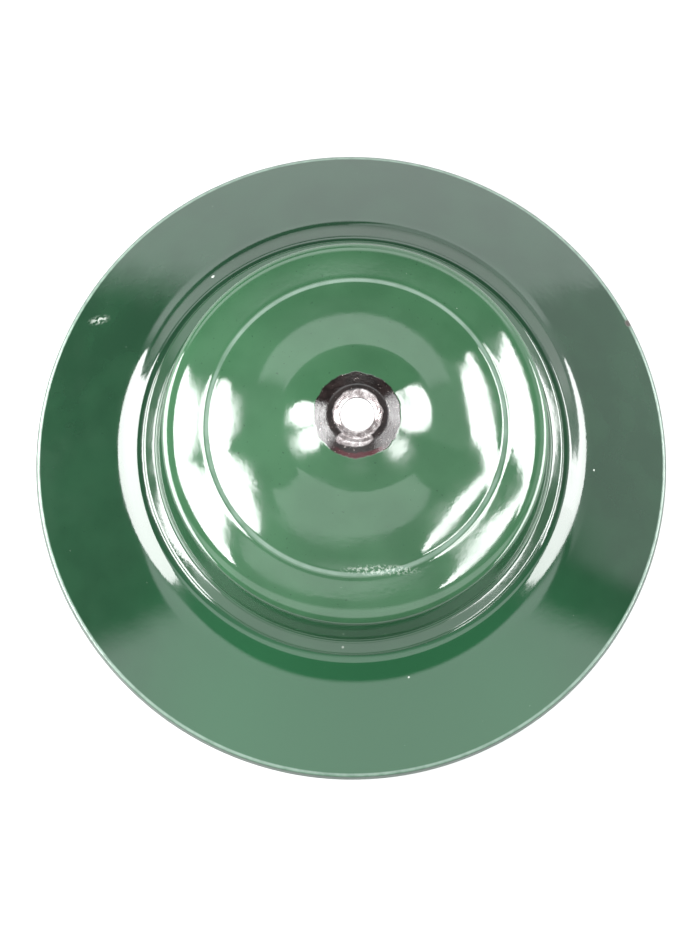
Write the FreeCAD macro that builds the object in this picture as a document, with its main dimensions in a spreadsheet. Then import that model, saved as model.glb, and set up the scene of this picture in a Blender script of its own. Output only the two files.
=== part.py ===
"""Enamelled steel ventilator of a mantle lantern: crown, brim and vent collar.

Each piece is one round stamping.  Its outline is a sketch of the middle of the sheet, which is
thickened by half the gauge to each side and turned about the vertical axis.  The origin is the
centre of the circle that the rim stands on, with +Z up.
"""
import FreeCAD, Part
import math
import os

import Sketcher
from FreeCAD import Placement, Rotation, Vector

# alias: (value in mm, degrees or a count, what it is); an outline's radii and heights are those of
# the middle of the sheet, and heights are above the plane that the rim stands on
SIZES = {
    "sheet_gauge": (1.0, "steel sheet with its enamel on both sides"),
    "globe_radius": (62.0, "outside of the glass globe, which the other radii are built out from"),
    "globe_clearance": (1.5, "room between the globe and the collar"),
    "globe_depth": (6.0, "how far the globe stands in the collar"),
    "collar_foot": (2.6, "height of the collar's lower edge"),
    "stop_depth": (3.4, "how far the globe stop reaches inwards"),
    "stop_width": (6.4, "height of the pressed bead of the stop"),
    "stop_bend": (1.4, "bends of the stop"),
    "window_count": (16, "number of vent windows"),
    "window_width": (15.0, "width of a vent window"),
    "window_height": (6.4, "height of a vent window"),
    "flange_bend": (2.0, "bend under the collar's flange"),
    "flange_width": (12.9, "from the collar's wall out to the edge of the lap joint"),
    "lap_height": (27.0, "height of the brim's sheet under the edge of the crown"),
    "lap_width": (4.6, "width of the lap joint between crown and brim"),
    "lap_slope": (14.0, "fall of the lap joint outwards in degrees"),
    "ledge_width": (1.7, "from the edge of the lap joint out to the neck"),
    "ledge_bend": (4.0, "round bend at the top of the neck"),
    "neck_width": (8.3, "radial width of the neck"),
    "neck_drop": (6.9, "fall from the edge of the lap joint to the foot of the neck"),
    "neck_bend": (20.0, "hollow bend at the foot of the neck"),
    "brim_width": (37.1, "from the neck out to the outside of the brim"),
    "rim_height": (2.4, "corner between the cone and the turned-down rim"),
    "rim_bend": (1.4, "round bend of the rim"),
    "lip_width": (5.4, "from the edge of the crown in to the foot of its wall"),
    "foot_bend": (2.0, "hollow bend at the foot of the wall"),
    "wall_lean": (4.7, "how far the wall leans in on its way up"),
    "wall_rise": (20.3, "height of the wall"),
    "shoulder_bend": (6.0, "round bend of the shoulder"),
    "annulus_width": (15.3, "from the shoulder in to the crease"),
    "annulus_rise": (5.2, "rise from the shoulder to the crease"),
    "annulus_bulge": (150.0, "radius of the arc between shoulder and crease"),
    "dome_rise": (15.7, "rise from the crease to the corner round the stud seat"),
    "dome_bulge": (500.0, "radius of the arc of the dome"),
    "seat_radius": (9.2, "corner where the dome turns down into the stud seat"),
    "seat_bend": (2.4, "round bend of that corner"),
    "seat_slope": (24.0, "slope of the stud seat in degrees"),
    "hole_radius": (5.65, "hole for the lantern's stud"),
}

# alias: formula of the sizes above; x is a radius and z a height of an outline's corner
CORNERS = {
    "collar_x": "globe_radius + globe_clearance + sheet_gauge / 2",
    "stop_z": "collar_foot + globe_depth",
    "lap_x": "collar_x + flange_width",
    "lap_inner_x": "lap_x + sheet_gauge / 2 - lap_width",
    "lap_fall": "tan(lap_slope * 1 deg)",
    "lap_step": "sheet_gauge / cos(lap_slope * 1 deg)",
    "flange_z": "lap_height - lap_step + flange_width * lap_fall",
    "ledge_x": "lap_x + ledge_width",
    "neck_x": "ledge_x + neck_width",
    "neck_z": "lap_height - neck_drop",
    "rim_x": "neck_x + brim_width - sheet_gauge / 2",
    "foot_x": "lap_x - lip_width",
    "foot_z": "lap_height + lap_step + lip_width * lap_fall",
    "shoulder_x": "foot_x - wall_lean",
    "shoulder_z": "foot_z + wall_rise",
    "crease_x": "shoulder_x - annulus_width",
    "crease_z": "shoulder_z + annulus_rise",
    "seat_z": "crease_z + dome_rise",
    "seat_fall": "tan(seat_slope * 1 deg)",
}

doc = FreeCAD.newDocument("lantern_ventilator")
sheet = doc.addObject("Spreadsheet::Sheet", "Sizes")
rows = [(alias, str(value), meaning) for alias, (value, meaning) in SIZES.items()]
rows += [(alias, "=" + formula, "worked out") for alias, formula in CORNERS.items()]
for row, (alias, content, meaning) in enumerate(rows, start=1):
    sheet.set(f"A{row}", alias)
    sheet.set(f"B{row}", content)
    sheet.set(f"C{row}", meaning)
    sheet.setAlias(f"B{row}", alias)
doc.recompute()


START, END = 1, 2                                    # the two ends of a sketch curve
ORIGIN = (-1, START)                                 # the sketch's origin point
UPRIGHT = Placement(Vector(), Rotation(Vector(1, 0, 0), 90))   # sketch X is radius, sketch Y is height


def value_of(formula):
    """The present value of a formula that uses the sheet's aliases."""
    return float(sheet.evalExpression(formula))


def add_arc(sketch, start, middle, end):
    """Add an arc, and return it with the sketch's names for its first and last point.

    A sketch counts every arc anticlockwise, so one that runs clockwise is drawn from its last point.
    """
    if (middle - start).cross(end - middle).z > 0:
        return sketch.addGeometry(Part.Arc(start, middle, end)), START, END
    return sketch.addGeometry(Part.Arc(end, middle, start)), END, START


def add_run(sketch, start, end, bulge):
    """Add a straight run from start to end, or an arc of radius bulge that is round on its left."""
    if not bulge:
        return sketch.addGeometry(Part.LineSegment(start, end)), START, END
    chord = end - start
    left = Vector(-chord.y, chord.x, 0).normalize()
    rise = bulge - math.sqrt(bulge ** 2 - chord.Length ** 2 / 4)
    return add_arc(sketch, start, (start + end) / 2 + left * rise, end)


def add_bend(sketch, start, corner, end, radius):
    """Add the arc of the given radius that rounds a corner from start to end."""
    middle = (start + end) / 2
    rise = radius - math.sqrt(radius ** 2 - (end - start).Length ** 2 / 4)
    return add_arc(sketch, start, middle + (corner - middle).normalize() * rise, end)


def bind(sketch, kind, place, formula):
    """Add a dimension to the sketch and bind it to a formula of the sheet."""
    index = sketch.addConstraint(Sketcher.Constraint(kind, *place, value_of(formula)))
    sketch.setExpression(f"Constraints[{index}]", formula)


def run_directions(points, corners):
    """The directions, as angles, in which each run leaves its first corner and reaches its last."""
    directions = []
    for here, there, (_, _, _, bulge) in zip(points, points[1:], corners):
        chord = there - here
        heading = math.atan2(chord.y, chord.x)
        swing = math.asin(chord.Length / 2 / value_of(bulge)) if bulge else 0.0
        directions.append((heading + swing, heading - swing))
    return directions


def bend_length(bend, arriving, leaving):
    """How much of each neighbouring run a corner's bend takes."""
    return value_of(bend) * math.tan(abs(leaving - arriving) / 2) if bend else 0.0


def outline(name, corners):
    """An open sketch through corners (radius, height, bend, bulge), each value a formula or None.

    bend rounds the corner itself and bulge makes the run from it to the next corner an arc.
    """
    sketch = doc.addObject("Sketcher::SketchObject", name + "_outline")
    sketch.Placement = UPRIGHT
    points = [Vector(value_of(radius), value_of(height), 0) for radius, height, _, _ in corners]
    directions = run_directions(points, corners)
    trims = [bend_length(corner[2], arrive[1], leave[0])
             for corner, arrive, leave in zip(corners[1:], directions, directions[1:])]
    trims = [0.0, *trims, 0.0]
    runs = []
    for index, (here, there) in enumerate(zip(points, points[1:])):
        bulge = corners[index][3]
        along = (there - here).normalize()
        start = here + along * trims[index]
        end = there - along * trims[index + 1]
        runs.append((*add_run(sketch, start, end, bulge and value_of(bulge)), start, end))
        if bulge:
            bind(sketch, "Radius", (runs[-1][0],), bulge)

    for index, (radius, height, bend, _) in enumerate(corners):
        before = runs[index - 1] if index > 0 else None
        after = runs[index] if index < len(runs) else None
        if bend:
            corner = (sketch.addGeometry(Part.Point(points[index]), True), START)
            arc, first, last = add_bend(sketch, before[4], points[index], after[3], value_of(bend))
            sketch.addConstraint(Sketcher.Constraint("PointOnObject", *corner, before[0]))
            sketch.addConstraint(Sketcher.Constraint("PointOnObject", *corner, after[0]))
            sketch.addConstraint(Sketcher.Constraint("Tangent", before[0], before[2], arc, first))
            sketch.addConstraint(Sketcher.Constraint("Tangent", arc, last, after[0], after[1]))
            bind(sketch, "Radius", (arc,), bend)
        else:
            corner = (after[0], after[1]) if after else (before[0], before[2])
            if before and after:
                sketch.addConstraint(Sketcher.Constraint("Coincident", before[0], before[2], *corner))
        bind(sketch, "DistanceX", (*ORIGIN, *corner), radius)
        bind(sketch, "DistanceY", (*ORIGIN, *corner), height)
    return sketch


def stamping(name, corners):
    """A round sheet-metal piece: half the gauge on each side of its outline, revolved."""
    section = doc.addObject("Part::Offset2D", name + "_section")
    section.Source = outline(name, corners)
    section.Fill = True
    section.setExpression("Value", "Sizes.sheet_gauge / 2")
    turned = doc.addObject("Part::Revolution", name + "_blank")
    turned.Source = section
    turned.Axis = Vector(0, 0, 1)
    turned.Angle = 360
    turned.Solid = True
    return turned


def punched(name, blank, tool):
    """The named piece: the blank with the tool's shape cut out of it."""
    piece = doc.addObject("Part::Cut", name)
    piece.Label = name
    piece.Base = blank
    piece.Tool = tool
    return piece


def disc(name, radius, bottom, height):
    """A plain upright cylinder on the axis, each size a formula."""
    tool = doc.addObject("Part::Cylinder", name)
    tool.setExpression("Radius", radius)
    tool.setExpression("Height", height)
    tool.setExpression("Placement.Base.z", bottom)
    return tool


def brim():
    """Turned-down rim, straight cone, rounded neck and the ledge that carries the crown.

    The rim is trimmed flat where it stands.
    """
    blank = stamping("brim", [
        ("Sizes.rim_x", "-Sizes.sheet_gauge", None, None),
        ("Sizes.rim_x", "Sizes.rim_height", "Sizes.rim_bend", None),
        ("Sizes.neck_x", "Sizes.neck_z", "Sizes.neck_bend", None),
        ("Sizes.ledge_x", "Sizes.lap_height - Sizes.ledge_width * Sizes.lap_fall", "Sizes.ledge_bend", None),
        ("Sizes.lap_inner_x", "Sizes.lap_height + (Sizes.lap_x - Sizes.lap_inner_x) * Sizes.lap_fall",
         None, None),
    ])
    trim_depth = "2 * Sizes.sheet_gauge"
    return punched("brim", blank, disc("rim_trim", "Sizes.rim_x * 2", f"-{trim_depth}", trim_depth))


def crown():
    """Drawn cap: sunk stud hole, dome, creased annulus, shoulder, wall and the lip of the lap."""
    blank_hole = "Sizes.hole_radius - Sizes.sheet_gauge"
    blank = stamping("crown_cap", [
        (blank_hole, f"Sizes.seat_z - (Sizes.seat_radius - {blank_hole}) * Sizes.seat_fall", None, None),
        ("Sizes.seat_radius", "Sizes.seat_z", "Sizes.seat_bend", "Sizes.dome_bulge"),
        ("Sizes.crease_x", "Sizes.crease_z", None, "Sizes.annulus_bulge"),
        ("Sizes.shoulder_x", "Sizes.shoulder_z", "Sizes.shoulder_bend", None),
        ("Sizes.foot_x", "Sizes.foot_z", "Sizes.foot_bend", None),
        ("Sizes.lap_x", "Sizes.lap_height + Sizes.lap_step", None, None),
    ])
    return punched("crown_cap", blank, disc("stud_punch", "Sizes.hole_radius", "0", "Sizes.seat_z * 2"))


def window_punches(bottom):
    """A ring of boxes, one for each vent window, standing on the height given as a formula."""
    boxes = []
    for index in range(round(value_of("Sizes.window_count"))):
        box = doc.addObject("Part::Box", f"window_punch_{index + 1}")
        box.setExpression("Length", "Sizes.lap_x")
        box.setExpression("Width", "Sizes.window_width")
        box.setExpression("Height", "Sizes.window_height")
        turn = f"({index} * 360 / Sizes.window_count)"
        box.setExpression("Placement.Rotation.Angle", f"{turn} * 1 deg")
        box.setExpression("Placement.Base.x", f"Sizes.window_width / 2 * sin({turn} * 1 deg)")
        box.setExpression("Placement.Base.y", f"-Sizes.window_width / 2 * cos({turn} * 1 deg)")
        box.setExpression("Placement.Base.z", bottom)
        boxes.append(box)
    ring = doc.addObject("Part::MultiFuse", "window_punches")
    ring.Shapes = boxes
    return ring


def vent_collar():
    """Hidden collar: flange under the lap, wall with vent windows, stop and guide of the globe."""
    stop_top = "(Sizes.stop_z + Sizes.stop_width)"
    blank = stamping("vent_collar", [
        ("Sizes.collar_x", "Sizes.collar_foot + Sizes.sheet_gauge / 2", None, None),
        ("Sizes.collar_x", "Sizes.stop_z", "Sizes.stop_bend", None),
        ("Sizes.collar_x - Sizes.stop_depth", "Sizes.stop_z + Sizes.stop_width / 2",
         "Sizes.stop_bend", None),
        ("Sizes.collar_x", stop_top, "Sizes.stop_bend", None),
        ("Sizes.collar_x", "Sizes.flange_z", "Sizes.flange_bend", None),
        ("Sizes.lap_x", "Sizes.lap_height - Sizes.lap_step", None, None),
    ])
    free_wall = f"(Sizes.flange_z - Sizes.flange_bend + {stop_top})"
    return punched("vent_collar", blank, window_punches(f"({free_wall} - Sizes.window_height) / 2"))


pieces = [crown(), brim(), vent_collar()]
doc.recompute()

for item in doc.Objects:
    if {"Invalid", "Error"} & set(item.State):
        raise RuntimeError(f"{item.Label} failed to build: {item.State}")
for piece in pieces:
    if piece.Shape.isNull() or not piece.Shape.isValid() or len(piece.Shape.Solids) != 1:
        raise RuntimeError(f"{piece.Label} is not one sound solid")

os.makedirs("parts", exist_ok=True)
for piece in pieces:
    piece.Shape.exportStep(f"parts/{piece.Label}.step")
    box = piece.Shape.optimalBoundingBox()
    print(f"{piece.Label}: {piece.Shape.Volume:.0f} mm3, radius {box.XMax:.2f}, "
          f"height {box.ZMin:.2f} to {box.ZMax:.2f}")
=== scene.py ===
import math

import bpy
import numpy as np
from mathutils import Euler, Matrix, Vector


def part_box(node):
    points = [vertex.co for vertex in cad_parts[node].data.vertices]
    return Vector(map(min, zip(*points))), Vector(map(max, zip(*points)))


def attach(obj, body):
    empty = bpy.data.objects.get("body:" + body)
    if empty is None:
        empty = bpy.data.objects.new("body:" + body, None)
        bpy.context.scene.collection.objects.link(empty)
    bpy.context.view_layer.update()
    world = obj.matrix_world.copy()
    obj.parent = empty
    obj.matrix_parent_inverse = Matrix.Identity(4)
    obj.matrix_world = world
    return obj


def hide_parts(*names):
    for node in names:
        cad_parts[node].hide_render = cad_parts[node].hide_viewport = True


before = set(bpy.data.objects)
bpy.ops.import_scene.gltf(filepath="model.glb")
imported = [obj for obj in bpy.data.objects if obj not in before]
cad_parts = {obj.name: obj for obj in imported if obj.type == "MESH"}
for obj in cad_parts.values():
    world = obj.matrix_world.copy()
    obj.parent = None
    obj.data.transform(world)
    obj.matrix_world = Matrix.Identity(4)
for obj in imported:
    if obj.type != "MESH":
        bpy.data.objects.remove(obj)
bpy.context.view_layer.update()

MM = 0.001
TURNS = 320                          # steps round the axis
STEP = 0.8 * MM                      # longest step along a section
BEND_LENGTH = 4.0 * MM               # a radian of bend counts as this much extra length
LINE_SAMPLES = 6000                  # points at which a slope is added up into a height
END_POINTS = 7                       # points on each half-round end of a section

# ---------------------------------------------------------------- sizes read from the frame

CROWN_LOW, CROWN_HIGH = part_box("crown_cap")
COLLAR_LOW, COLLAR_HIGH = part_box("vent_collar")
GAUGE = 1.0 * MM                     # steel with its enamel on both sides
LAP_STEP = 1.03 * GAUGE              # rise from one sheet's middle to the next at the lap
LAP_EDGE = CROWN_HIGH[0] - GAUGE / 2         # middle of the sheet at the crown's edge
LAP_HEIGHT = CROWN_LOW[2] - GAUGE / 2        # middle of the brim's sheet under that edge
FLANGE_WIDTH = 12.9 * MM
COLLAR_WALL = LAP_EDGE - FLANGE_WIDTH        # middle of the collar's wall

# (radius, slope) knots in mm and degrees, from the inner edge out; a positive slope falls outwards
CROWN_KNOTS = [
    (6.15, -24), (8.3, -24), (9.1, 0), (10.0, 24.5),                        # seat of the nut
    (17.6, 24), (24.6, 21.5), (27, 17.3), (33, 17), (39, 19.9), (43, 20),   # dome
    (49, 21.8), (50.2, 22.3), (51.0, 13), (51.8, 13), (52.6, 23),           # crease ring
    (53.3, 18.3), (59.7, 18.5), (62.5, 19.8), (63.8, 23), (66.9, 44),       # annulus, shoulder
    (67.4, 77), (71.0, 77), (71.9, 45), (73, 15.5), (76.9, 14)]             # wall, lip
BRIM_KNOTS = [
    (72.8, 14), (76.9, 14), (77.5, 19), (78.8, 21),                         # ledge
    (80.2, 38), (84, 37.5), (87.6, 31), (90.2, 25.8),                       # neck
    (121.8, 25.6), (122.6, 50), (123.2, 84), (123.5, 87)]                   # cone, rim


def slope_section(knots, anchor):
    """Middle line of a sheet from (radius, slope) knots in mm and degrees.

    The slope changes evenly between knots, and height is minus the running integral of its
    tangent, moved so that the line passes through the anchor (radius, height) in metres.
    """
    radius_knots, slope_knots = np.array(knots, float).T
    radius = np.linspace(radius_knots[0], radius_knots[-1], LINE_SAMPLES)
    fall = np.tan(np.radians(np.interp(radius, radius_knots, slope_knots)))
    drops = (fall[1:] + fall[:-1]) / 2 * np.diff(radius)
    height = -np.concatenate([[0.0], np.cumsum(drops)])
    line = np.stack([radius, height], 1) * MM
    line[:, 1] += anchor[1] - np.interp(anchor[0], line[:, 0], line[:, 1])
    return line


def even_steps(line, step):
    """The same line with its points spread evenly by length plus a share of the bending."""
    edges = np.diff(line, axis=0)
    heading = np.arctan2(edges[:, 1], edges[:, 0])
    bend = np.abs(np.diff(heading, prepend=heading[0]))
    run = np.concatenate([[0.0], np.cumsum(np.linalg.norm(edges, axis=1) + BEND_LENGTH * bend)])
    even = np.linspace(0.0, run[-1], math.ceil(run[-1] / step) + 1)
    return np.stack([np.interp(even, run, line[:, axis]) for axis in (0, 1)], 1)


def thicken(line, gauge):
    """Closed section of a sheet: the line moved half a gauge to each side, with half-round ends.

    The side is the line's direction turned by a right angle; each end is an arc of half a gauge
    about the line's last point.
    """
    along = np.gradient(line, axis=0)
    along /= np.linalg.norm(along, axis=1)[:, None]
    side = np.stack([-along[:, 1], along[:, 0]], 1) * gauge / 2
    sweep = np.radians(np.linspace(0, 180, END_POINTS + 2)[1:-1])[:, None]
    far_end = line[-1] + np.cos(sweep) * side[-1] + np.sin(sweep) * along[-1] * gauge / 2
    near_end = line[0] - np.cos(sweep) * side[0] - np.sin(sweep) * along[0] * gauge / 2
    return np.concatenate([line + side, far_end, (line - side)[::-1], near_end])


def make_mesh(name, verts, faces, material):
    """Smooth-shaded object at the origin from arrays of corners and faces."""
    mesh = bpy.data.meshes.new(name)
    mesh.from_pydata(verts.tolist(), [], faces.tolist())
    mesh.validate()
    mesh.polygons.foreach_set("use_smooth", np.ones(len(mesh.polygons), bool))
    mesh.materials.append(material)
    mesh.update()
    piece = bpy.data.objects.new(name, mesh)
    bpy.context.scene.collection.objects.link(piece)
    return piece


def revolved_grid(section):
    """Closed section carried round the Z axis: x = radius cos t, y = radius sin t, z = height.

    Returns the corners, and the four-cornered faces as an array (turn, place on the section, 4).
    """
    count = len(section)
    turn = np.linspace(0.0, 2 * math.pi, TURNS, endpoint=False)[:, None]
    verts = np.stack([section[:, 0] * np.cos(turn), section[:, 0] * np.sin(turn),
                      np.broadcast_to(section[:, 1], (TURNS, count))], -1)
    row, place = np.meshgrid(np.arange(TURNS), np.arange(count), indexing="ij")
    next_row, next_place = (row + 1) % TURNS, (place + 1) % count
    faces = np.stack([row * count + place, row * count + next_place,
                      next_row * count + next_place, next_row * count + place], -1)
    return verts.reshape(-1, 3), faces


def dress(piece, node):
    """Put a piece in the place of a CAD node, riding on the one body."""
    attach(piece, "root")
    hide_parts(node)


# ---------------------------------------------------------------- materials

MIX_SHARE, MIX_FIRST, MIX_SECOND, MIX_RESULT = 0, 6, 7, 2    # colour sockets of a Mix node
FAR = 1e6                            # stretch that takes an axis out of a distance
RING_OUT, RING_IN = 0.0009, 0.0003   # a painted ring (the rim's highlight line or the crease ring) fades between these distances


class Nodes:
    """Short names for building one material's node tree."""

    def __init__(self, name):
        self.material = bpy.data.materials.new(name)
        self.material.use_nodes = True
        self.tree = self.material.node_tree
        self.shader = self.tree.nodes["Principled BSDF"]
        self.place = self.add("ShaderNodeTexCoord").outputs["Object"]

    def add(self, kind, settings=(), **inputs):
        """Add a node, set its properties, and link or set each named input."""
        node = self.tree.nodes.new(kind)
        for name, value in dict(settings).items():
            setattr(node, name, value)
        for name, value in inputs.items():
            self.feed(node.inputs[name.replace("_", " ")], value)
        return node

    def feed(self, socket, value):
        """Link an output to the socket, or set the socket's own value."""
        if isinstance(value, bpy.types.NodeSocket):
            self.tree.links.new(value, socket)
        else:
            socket.default_value = value

    def maths(self, operation, *values, clamp=False):
        """One step of arithmetic on numbers or outputs."""
        node = self.tree.nodes.new("ShaderNodeMath")
        node.operation, node.use_clamp = operation, clamp
        for socket, value in zip(node.inputs, values):
            self.feed(socket, value)
        return node.outputs[0]

    def noise(self, size, detail=4.0, rough=0.5):
        """Noise whose blotches are about size metres wide."""
        return self.add("ShaderNodeTexNoise", Vector=self.place, Scale=1 / size,
                        Detail=detail, Roughness=rough).outputs["Fac"]

    def ramp(self, value, low, high, start=0.0, end=1.0):
        """The value carried smoothly from low..high to start..end."""
        node = self.add("ShaderNodeMapRange", {"interpolation_type": "SMOOTHSTEP"}, Value=value,
                        From_Min=low, From_Max=high, To_Min=start, To_Max=end)
        return node.outputs[0]

    def mix(self, share, first, second):
        """Two colours mixed by share."""
        node = self.add("ShaderNodeMix", {"data_type": "RGBA"})
        sockets = (node.inputs[MIX_SHARE], node.inputs[MIX_FIRST], node.inputs[MIX_SECOND])
        for socket, value in zip(sockets, (share, first, second)):
            self.feed(socket, value)
        return node.outputs[MIX_RESULT]

    def apart(self, centre, stretch=(1, 1, 1)):
        """Distance from a point, with each axis divided by its stretch."""
        moved = self.add("ShaderNodeVectorMath", {"operation": "SUBTRACT"})
        self.feed(moved.inputs[0], self.place)
        moved.inputs[1].default_value = centre
        scaled = self.add("ShaderNodeVectorMath", {"operation": "DIVIDE"})
        self.feed(scaled.inputs[0], moved.outputs[0])
        scaled.inputs[1].default_value = stretch
        length = self.add("ShaderNodeVectorMath", {"operation": "LENGTH"})
        self.feed(length.inputs[0], scaled.outputs[0])
        return length.outputs["Value"]

    def from_axis(self):
        """Distance from the Z axis."""
        return self.apart((0, 0, 0), (1, 1, FAR))

    def line_at(self, across, radius):
        """A narrow ring on the surface: 1 at the radius, 0 at RING_OUT from it."""
        off = self.maths("ABSOLUTE", self.maths("SUBTRACT", across, radius))
        return self.ramp(off, RING_OUT, RING_IN)

    def bump(self, height, strength, distance, normal=None):
        """Normal of a surface raised by height times distance."""
        inputs = {"Height": height, "Strength": strength, "Distance": distance}
        if normal:
            inputs["Normal"] = normal
        return self.add("ShaderNodeBump", **inputs).outputs["Normal"]


# colours are linear, and places and sizes on a surface are in metres
CROWN_GREEN = ((0.026, 0.075, 0.036, 1), (0.031, 0.086, 0.042, 1))
BRIM_GREEN = ((0.0078, 0.0275, 0.0135, 1), (0.0096, 0.033, 0.0162, 1))
FRONT_LIT_GREEN = (0.0125, 0.062, 0.0260, 1)      # painted light: lighter green where the front of the brim catches the light
PALE_HIGHLIGHT = (0.20, 0.27, 0.225, 1)                 # painted highlight, pale; at the crease it lies over rub-worn enamel
RUBBED = (0.075, 0.090, 0.080, 1)             # enamel worn through at the rim
PIT = (0.006, 0.02, 0.012, 1)
DUST = (0.62, 0.66, 0.60, 1)
CHIPPED = (0.030, 0.022, 0.018, 1)
CHAR = ((0.0055, 0.0034, 0.0032, 1), (0.0140, 0.0090, 0.0085, 1))
CHAR_RED = (0.045, 0.006, 0.009, 1)
CRUST = (0.42, 0.36, 0.34, 1)
STEEL = ((0.20, 0.165, 0.165, 1), (0.52, 0.47, 0.47, 1))
SOOT = (0.020, 0.018, 0.016, 1)

GLOSS = 0.045                        # lowest roughness of the enamel
GLOSS_SPREAD = 0.05                  # and how much rougher its cloudy places are

BRIM_SPECKS = (((-0.0525, 0.0656, 0.0228), 0.0009), ((0.0906, -0.0072, 0.0185), 0.0007),
               ((0.0205, -0.0850, 0.0205), 0.0006))
CROWN_SPECKS = (((0.0007, -0.0369, 0.0625), 0.0008), ((-0.004, -0.0745, 0.029), 0.0006))
FRONT_LIT_CENTRE = (0.010, -0.115, 0.005)  # middle of the painted lighter front
# rim radii: the painted highlight line, then where the worn rim face starts and where it is fully
# worn
RIM_HIGHLIGHT, RIM_FACE, RIM_WORN = 0.1221, 0.1226, 0.1231
CHIP = (0.1086, 0.0545, 0.0030)
SMEAR = (-0.0976, 0.0543, 0.0081)
CREASE = 0.0514
# painted shade on the crown's side wall: it starts at the first radius and is full at the second
WALL_SHADE_TOP, WALL_SHADE_FACE = 0.0670, 0.0677
SCRATCH = (0.0101, -0.0500, 0.0570)
CHAR_OUT, CHAR_IN = 0.0148, 0.0142   # the burnt disc fades between these radii
CHAR_FRONT = (0.001, -0.0140, 0.069)
BARE_OUT, BARE_IN = 0.0083, 0.0077   # and the bare seat between these
BARE_PAD = (-0.0012, -0.0084, 0.0711)


def enamel(name, greens, specks=()):
    """Start a green vitreous enamel: its cloudy colour with pinholes, and where dust lies on it."""
    nodes = Nodes(name)
    cloud = nodes.ramp(nodes.noise(0.018, 5), 0.35, 0.65)
    colour = nodes.mix(cloud, *greens)
    pits = nodes.ramp(nodes.noise(0.0011, 2), 0.70, 0.76)
    colour = nodes.mix(nodes.maths("MULTIPLY", pits, 0.6), colour, PIT)
    dust = nodes.ramp(nodes.noise(0.0023, 3, 0.7), 0.755, 0.785)
    for centre, size in specks:
        dust = nodes.maths("MAXIMUM", dust, nodes.ramp(nodes.apart(centre), size, size * 0.6))
    return nodes, colour, dust


def gloss_with(nodes, marks):
    """Roughness of the enamel, changed by an amount at each (mark, amount)."""
    rough = nodes.ramp(nodes.noise(0.012, 4), 0.3, 0.7, GLOSS, GLOSS + GLOSS_SPREAD)
    for mark, amount in marks:
        rough = nodes.maths("ADD", rough, nodes.maths("MULTIPLY", mark, amount), clamp=True)
    return rough


def finish_enamel(nodes, colour, rough):
    """Link the colour and the roughness, and add the waves of a hand-dipped coat."""
    shader = nodes.shader
    nodes.feed(shader.inputs["Base Color"], colour)
    nodes.feed(shader.inputs["Roughness"], rough)
    broad = nodes.bump(nodes.noise(0.030, 1), 0.10, 0.0010)
    fine = nodes.bump(nodes.noise(0.0022, 3), 0.05, 0.00020, broad)
    nodes.feed(shader.inputs["Normal"], fine)
    return nodes.material


def brim_material():
    """Enamel painted lighter in front where the light falls, with a painted highlight line and worn
    enamel at the rim, a chip and a smear.
    """
    nodes, colour, dust = enamel("brim_enamel_green", BRIM_GREEN, BRIM_SPECKS)
    # painted light: the brim's front is mixed towards a lighter green
    front = nodes.ramp(nodes.apart(FRONT_LIT_CENTRE), 0.130, 0.050)
    colour = nodes.mix(front, colour, FRONT_LIT_GREEN)
    colour = nodes.mix(nodes.maths("MULTIPLY", dust, 0.7), colour, DUST)
    across = nodes.from_axis()
    patchy = nodes.ramp(nodes.noise(0.004, 5), 0.30, 0.65, 0.65, 1.0)
    # painted highlight: a pale line round the top of the rim
    rim_highlight_line = nodes.maths("MULTIPLY", nodes.line_at(across, RIM_HIGHLIGHT), patchy)
    worn = nodes.maths("MULTIPLY", nodes.ramp(across, RIM_FACE, RIM_WORN), patchy)
    colour = nodes.mix(nodes.maths("MULTIPLY", rim_highlight_line, 0.7), colour, PALE_HIGHLIGHT)
    colour = nodes.mix(nodes.maths("MULTIPLY", worn, 0.9), colour, RUBBED)
    chip = nodes.ramp(nodes.apart(CHIP), 0.0022, 0.0014)
    colour = nodes.mix(chip, colour, CHIPPED)
    smear = nodes.ramp(nodes.apart(SMEAR, (1.6, 0.6, 1)), 0.0042, 0.0010)
    grain = nodes.ramp(nodes.noise(0.0012, 4), 0.42, 0.6)
    smear = nodes.maths("MULTIPLY", smear, grain, clamp=True)
    colour = nodes.mix(nodes.maths("MULTIPLY", smear, 0.35), colour, DUST)
    rough = gloss_with(nodes, ((dust, 0.4), (chip, 0.6), (smear, 0.3), (rim_highlight_line, 0.15), (worn, 0.4)))
    return finish_enamel(nodes, colour, rough)


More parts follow.
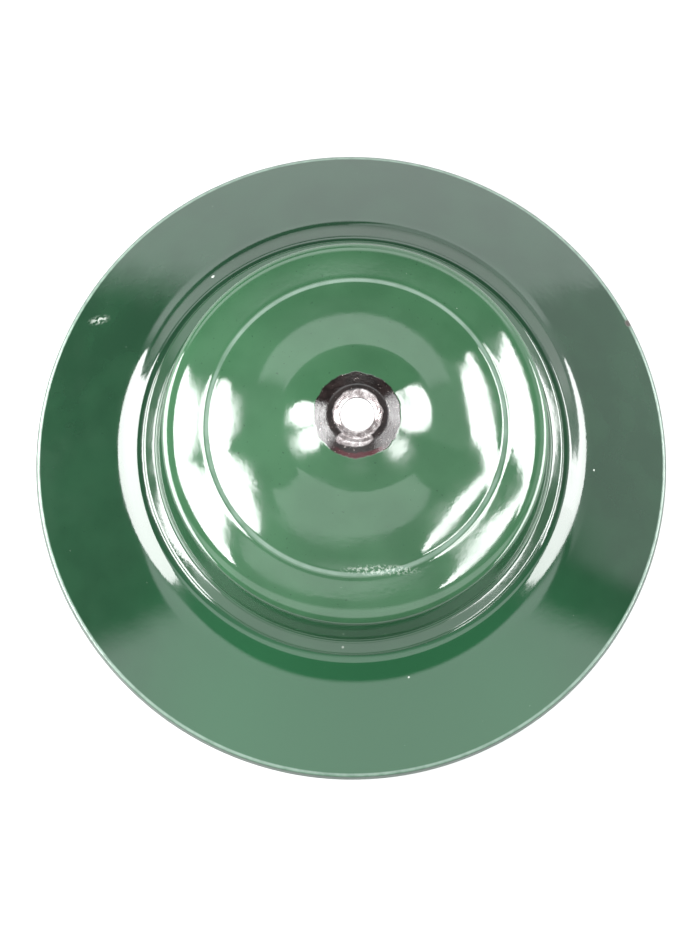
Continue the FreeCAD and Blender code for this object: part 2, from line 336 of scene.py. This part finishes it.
def crown_material():
    """Enamel worn through round the stud hole: bare seat, burnt disc; a crease ring with a painted
    highlight over rub-worn enamel; painted shade on the side wall.
    """
    nodes, colour, dust = enamel("crown_enamel_green", CROWN_GREEN, CROWN_SPECKS)
    colour = nodes.mix(nodes.maths("MULTIPLY", dust, 0.7), colour, DUST)
    across = nodes.from_axis()
    # painted shade: the crown's side wall, in less light, mixed towards the darker brim green
    wall = nodes.ramp(across, WALL_SHADE_TOP, WALL_SHADE_FACE, 0.0, 0.65)
    colour = nodes.mix(wall, colour, BRIM_GREEN[1])

    blotchy = nodes.ramp(nodes.noise(0.012, 5), 0.25, 0.65, 0.35, 1.0)
    # pale crease ring: painted highlight along the crease, over enamel rub-worn there
    crease_rub_and_highlight = nodes.maths("MULTIPLY", nodes.line_at(across, CREASE), blotchy, clamp=True)
    colour = nodes.mix(nodes.maths("MULTIPLY", crease_rub_and_highlight, 0.5), colour, PALE_HIGHLIGHT)
    scratch = nodes.ramp(nodes.apart(SCRATCH, (4.0, 0.5, 1)), 0.0048, 0.0020)
    grain = nodes.ramp(nodes.noise(0.0010, 4, 0.7), 0.50, 0.56)
    scratch = nodes.maths("MULTIPLY", scratch, grain, clamp=True)
    colour = nodes.mix(nodes.maths("MULTIPLY", scratch, 0.35), colour, DUST)

    ragged = nodes.maths("MULTIPLY_ADD", nodes.noise(0.004, 5, 0.6), 0.0022, -0.0011)
    radius = nodes.maths("ADD", across, ragged)
    burnt = nodes.ramp(radius, CHAR_OUT, CHAR_IN)
    brown = nodes.mix(nodes.ramp(nodes.noise(0.003, 5, 0.65), 0.35, 0.65), *CHAR)
    red = nodes.maths("MULTIPLY", nodes.ramp(radius, 0.0126, 0.0134),
                      nodes.ramp(nodes.apart(CHAR_FRONT), 0.0110, 0.0050))
    brown = nodes.mix(red, brown, CHAR_RED)
    crust = nodes.ramp(nodes.noise(0.0009, 3, 0.7), 0.66, 0.72)
    brown = nodes.mix(crust, brown, CRUST)
    colour = nodes.mix(burnt, colour, brown)

    ring = nodes.ramp(radius, BARE_OUT, BARE_IN)
    pad = nodes.maths("ADD", nodes.apart(BARE_PAD, (5.6, 2.6, 10)),
                      nodes.maths("MULTIPLY", ragged, 0.25))
    bare = nodes.maths("MAXIMUM", ring, nodes.ramp(pad, 0.00112, 0.00092))
    steel = nodes.mix(nodes.ramp(nodes.noise(0.0016, 5, 0.7), 0.35, 0.65), *STEEL)
    colour = nodes.mix(bare, colour, steel)
    nodes.feed(nodes.shader.inputs["Metallic"], nodes.maths("MULTIPLY", bare, 0.75))

    rough = gloss_with(nodes, ((dust, 0.4), (burnt, 0.03), (bare, 0.05), (crease_rub_and_highlight, 0.10),
                               (scratch, 0.12)))
    material = finish_enamel(nodes, colour, rough)
    smooth = nodes.shader.inputs["Normal"].links[0].from_socket
    pitted = nodes.maths("MULTIPLY", nodes.noise(0.0010, 4, 0.7), burnt)
    nodes.feed(nodes.shader.inputs["Normal"], nodes.bump(pitted, 0.15, 0.0003, smooth))
    return material


def collar_material():
    """Enamel under a film of soot, which dulls it."""
    nodes, colour, _ = enamel("collar_enamel_green", BRIM_GREEN)
    soot = nodes.ramp(nodes.noise(0.014, 6, 0.6), 0.35, 0.70)
    colour = nodes.mix(nodes.maths("MULTIPLY", soot, 0.65), colour, SOOT)
    rough = nodes.ramp(soot, 0, 1, GLOSS + 0.12, 0.55)
    return finish_enamel(nodes, colour, rough)


# ---------------------------------------------------------------- the three stampings

crown_line = even_steps(slope_section(CROWN_KNOTS, (LAP_EDGE, LAP_HEIGHT + LAP_STEP)), STEP)
crown_verts, crown_faces = revolved_grid(thicken(crown_line, GAUGE))
crown = make_mesh("crown_enamel", crown_verts, crown_faces.reshape(-1, 4), crown_material())
dress(crown, "crown_cap")

brim_line = even_steps(slope_section(BRIM_KNOTS, (LAP_EDGE, LAP_HEIGHT)), STEP)
brim_line[:, 1] = np.maximum(brim_line[:, 1], GAUGE / 2)     # the rim stands on the ground
brim_verts, brim_faces = revolved_grid(thicken(brim_line, GAUGE))
brim = make_mesh("brim_enamel", brim_verts, brim_faces.reshape(-1, 4), brim_material())
dress(brim, "brim")

WINDOWS = 16
WINDOW_WIDTH = 15.0 * MM
WINDOW_LOW, WINDOW_HIGH = 17.6 * MM, 24.0 * MM
STOP_LOW, STOP_HIGH, STOP_DEPTH = 8.6 * MM, 15.0 * MM, 2.89 * MM
COLLAR_FOOT = COLLAR_LOW[2] + GAUGE / 2
FLANGE_TOP = COLLAR_HIGH[2] - GAUGE / 2
FLANGE_BEND = 2 * MM
FLANGE_SLOPE = 14                    # degrees, as the lap
BEND_POINTS, FLANGE_POINTS = 11, 15


def collar_section():
    """Middle line of the collar: wall with a rounded inward bead, then the flange out to the lap.

    The bead is a raised cosine of the height.  An arc joins the wall to the flange, turning until
    it falls outwards as the flange does.
    """
    height = np.arange(COLLAR_FOOT, FLANGE_TOP - FLANGE_BEND, STEP / 2)
    share = np.clip((height - STOP_LOW) / (STOP_HIGH - STOP_LOW), 0, 1)
    bead = STOP_DEPTH * (1 - np.cos(2 * math.pi * share)) / 2
    wall = np.stack([COLLAR_WALL - bead, height], 1)
    sweep = np.radians(np.linspace(180, 90 - FLANGE_SLOPE, BEND_POINTS + 1)[1:])
    bend = np.stack([COLLAR_WALL + FLANGE_BEND * (1 + np.cos(sweep)),
                     FLANGE_TOP - FLANGE_BEND * (1 - np.sin(sweep))], 1)
    reach = np.linspace(0, 1, FLANGE_POINTS + 1)[1:, None]
    lap_end = np.array([LAP_EDGE, LAP_HEIGHT - LAP_STEP])
    flange = bend[-1] + (lap_end - bend[-1]) * reach
    return np.concatenate([wall, bend, flange])


def punched_collar(material):
    """The revolved collar without the faces of its windows, and with the windows' cut edges.

    A window is a block of turns and of places on the section.  Its sills join the two sides of the
    sheet below and above it, and its jambs join them at its two ends.
    """
    line = collar_section()
    section = thicken(line, GAUGE)
    verts, faces = revolved_grid(section)
    count, points = len(section), len(line)
    start = int(np.searchsorted(line[:, 1], WINDOW_LOW))
    stop = int(np.searchsorted(line[:points - BEND_POINTS - FLANGE_POINTS, 1], WINDOW_HIGH))
    pitch = TURNS // WINDOWS
    half = round(WINDOW_WIDTH / (2 * math.pi * COLLAR_WALL) * TURNS / 2)
    turn = (np.arange(TURNS) + half) % pitch
    open_turn = turn < 2 * half
    mirror = 2 * points + END_POINTS - 1             # place p faces place mirror - p
    hole = np.zeros((TURNS, count), bool)
    hole[:, start:stop] = open_turn[:, None]
    hole[:, mirror - stop:mirror - start] = open_turn[:, None]
    kept = faces[~hole]
    columns = np.flatnonzero(open_turn)
    after = (columns + 1) % TURNS
    sills = [np.stack([a * count + p, b * count + p,
                       b * count + mirror - p, a * count + mirror - p], 1)
             for p, a, b in ((start, after, columns), (stop, columns, after))]
    first = columns[turn[columns] == 0][:, None]
    last = ((columns[turn[columns] == 2 * half - 1] + 1) % TURNS)[:, None]
    run = np.arange(start, stop)
    jambs = [np.stack(np.broadcast_arrays(c * count + p, c * count + q, c * count + mirror - q,
                                          c * count + mirror - p), -1).reshape(-1, 4)
             for c, p, q in ((first, run, run + 1), (last, run + 1, run))]
    return make_mesh("collar_enamel", verts, np.concatenate([kept, *sills, *jambs]), material)


collar = punched_collar(collar_material())
dress(collar, "vent_collar")

# ---------------------------------------------------------------- floor, light and camera

def flat_sheet(name, half_size, height, colour, glow=0.0):
    """A square of the floor, with a faintly uneven surface."""
    nodes = Nodes(name + "_paper")
    darker = [part * 0.97 for part in colour]
    tint = nodes.mix(nodes.ramp(nodes.noise(0.05, 4), 0.3, 0.7), (*darker, 1), (*colour, 1))
    nodes.feed(nodes.shader.inputs["Base Color"], tint)
    nodes.feed(nodes.shader.inputs["Roughness"],
               nodes.ramp(nodes.noise(0.01, 3), 0.3, 0.7, 0.8, 0.95))
    nodes.shader.inputs["Emission Color"].default_value = (1, 1, 1, 1)
    nodes.shader.inputs["Emission Strength"].default_value = glow
    corners = np.array([(-1, -1, 0), (1, -1, 0), (1, 1, 0), (-1, 1, 0)]) * half_size
    sheet = make_mesh(name, corners + (0, 0, height), np.array([[0, 1, 2, 3]]), nodes.material)


def panel_light(name, place, target, size, radiance):
    """A flat oval light, size in metres, aimed at a target."""
    data = bpy.data.lights.new(name, "AREA")
    data.shape = "ELLIPSE"
    data.size, data.size_y = size
    data.energy = radiance * size[0] * size[1] * math.pi
    light = bpy.data.objects.new(name, data)
    light.location = place
    light.rotation_euler = (Vector(target) - Vector(place)).to_track_quat("-Z", "Y").to_euler()
    bpy.context.scene.collection.objects.link(light)
    return light


flat_sheet("floor", 1.5, 0.0, (0.60, 0.60, 0.60))
# painted light: a glowing patch of floor under the stud hole, so that the hole shows white instead
# of the shade under the crown
flat_sheet("floor_glow", 0.03, 0.0004, (0.80, 0.80, 0.80), glow=1.3)   # seen through the hole

ROOM_DIM, ROOM_BRIGHT = 0.09, 2.8    # strength of the dark room, and what a full zone adds


def room_light():
    """A dim room with soft white zones, so that the gloss has something to mirror.

    A direction (x, y, z) is looked up at u = x / z and v = y / z, as on a level ceiling.
    """
    room = bpy.data.worlds.new("room")
    room.use_nodes = True
    tree = room.node_tree
    direction = tree.nodes.new("ShaderNodeTexCoord").outputs["Generated"]
    split = tree.nodes.new("ShaderNodeSeparateXYZ")
    tree.links.new(direction, split.inputs[0])

    def maths(operation, first, second=0.0, third=0.0):
        node = tree.nodes.new("ShaderNodeMath")
        node.operation = operation
        for socket, value in zip(node.inputs, (first, second, third)):
            if isinstance(value, bpy.types.NodeSocket):
                tree.links.new(value, socket)
            else:
                socket.default_value = value
        return node.outputs[0]

    def step(value, low, high):
        """0 below low, 1 above high, smooth between; low above high turns it round."""
        node = tree.nodes.new("ShaderNodeMapRange")
        node.interpolation_type = "SMOOTHSTEP"
        for name, number in (("From Min", low), ("From Max", high)):
            node.inputs[name].default_value = number
        tree.links.new(value, node.inputs["Value"])
        return node.outputs[0]

    height = maths("MAXIMUM", split.outputs["Z"], 0.01)
    u = maths("DIVIDE", split.outputs["X"], height)
    v = maths("DIVIDE", split.outputs["Y"], height)

    def oval(centre, half, soft):
        """1 inside an ellipse of the u, v plane and 0 outside."""
        across = maths("DIVIDE", maths("SUBTRACT", u, centre[0]), half[0])
        along = maths("DIVIDE", maths("SUBTRACT", v, centre[1]), half[1])
        reach = maths("ADD", maths("MULTIPLY", across, across), maths("MULTIPLY", along, along))
        return step(reach, 1 + soft, 1 - soft)

    def band(low, low_end, high_end, high):
        """1 between two values of v and 0 outside."""
        return maths("MULTIPLY", step(v, low, low_end), step(v, high, high_end))

    side = maths("ABSOLUTE", u)
    back_lens = maths("MULTIPLY", oval((0.05, 0.72), (0.88, 0.95), 0.10), step(v, 0.62, 0.85))
    front_lens = maths("MULTIPLY", oval((0.0, -0.22), (0.62, 0.38), 0.05), step(v, -0.20, -0.23))
    front = maths("MULTIPLY", band(-2.3, -1.75, -0.80, -0.62), step(side, 4.5, 2.4))
    back = maths("MULTIPLY", step(maths("DIVIDE", v, maths("MAXIMUM", side, 0.01)), 0.75, 1.05),
                 band(2.2, 3.0, 7.0, 11.0))
    right = maths("MULTIPLY", step(u, 1.5, 2.1), maths("MULTIPLY", step(v, -0.46, -0.30), 0.50))
    crown = maths("MULTIPLY", oval((0.0, 0.2), (1.1, 1.5), 0.6), 0.20)
    window = maths("MULTIPLY", oval((0.90, 0.60), (0.36, 0.50), 0.15), 0.36)
    crown = maths("MAXIMUM", crown, window)
    glow = maths("MAXIMUM", maths("MAXIMUM", back_lens, front_lens),
                 maths("MAXIMUM", maths("MAXIMUM", front, back), maths("MAXIMUM", right, crown)))
    background = tree.nodes["Background"]
    background.inputs["Color"].default_value = (0.95, 1.0, 1.0, 1)
    tree.links.new(maths("MULTIPLY_ADD", glow, ROOM_BRIGHT, ROOM_DIM),
                   background.inputs["Strength"])
    return room


bpy.context.scene.world = room_light()
bpy.context.scene.view_settings.view_transform = "Standard"


CEILING = 0.45


def ceiling_bar(name, start, end, width, radiance):
    """A level bar of light under the ceiling, from start to end (x, y) in mm."""
    along = Vector(end) - Vector(start)
    middle = (Vector(start) + Vector(end)) / 2 * MM
    size = (along.length * MM, width * MM)
    light = panel_light(name, (*middle, CEILING), (*middle, 0), size, radiance)
    light.rotation_euler = (0, 0, math.atan2(along.y, along.x))


def wall_light(name, place, size, radiance):
    """An upright light that faces the axis, its centre and size in mm."""
    centre = [value * MM for value in place]
    panel_light(name, centre, (0, 0, centre[2]), (size[0] * MM, size[1] * MM), radiance)


ceiling_bar("streak_left", (-495, 360), (-468, -60), 120, 22)
ceiling_bar("streak_left_end", (-492, 90), (-310, -235), 105, 22)
ceiling_bar("streak_right", (498, 500), (512, -120), 92, 22)
ceiling_bar("streak_right_end", (520, 10), (235, -290), 44, 20)
wall_light("side_left", (-640, 10, 96), (960, 215), 14)
wall_light("side_right", (640, 0, 96), (860, 115), 12)

CAMERA = Vector((-13.0, -97.7, 420.0)) * MM
AIM = Vector((-0.4, -1.5, 0.0)) * MM     # point of the ground at the middle of the view
TILT = Euler((math.radians(4.0), 0, 0))
VIEW_HEIGHT = 933 * 0.394 * MM           # ground covered from the bottom to the top of the view
SENSOR = 36.0

view = TILT.to_matrix().inverted() @ (AIM - CAMERA)
camera_data = bpy.data.cameras.new("camera")
camera_data.sensor_width = SENSOR
camera_data.lens = SENSOR * -view.z / VIEW_HEIGHT
camera_data.shift_x = view.x / -view.z * camera_data.lens / SENSOR
camera_data.shift_y = view.y / -view.z * camera_data.lens / SENSOR
camera_data.clip_start = 0.01
camera = bpy.data.objects.new("camera", camera_data)
camera.location = CAMERA
camera.rotation_euler = TILT
bpy.context.scene.collection.objects.link(camera)
bpy.context.scene.camera = camera
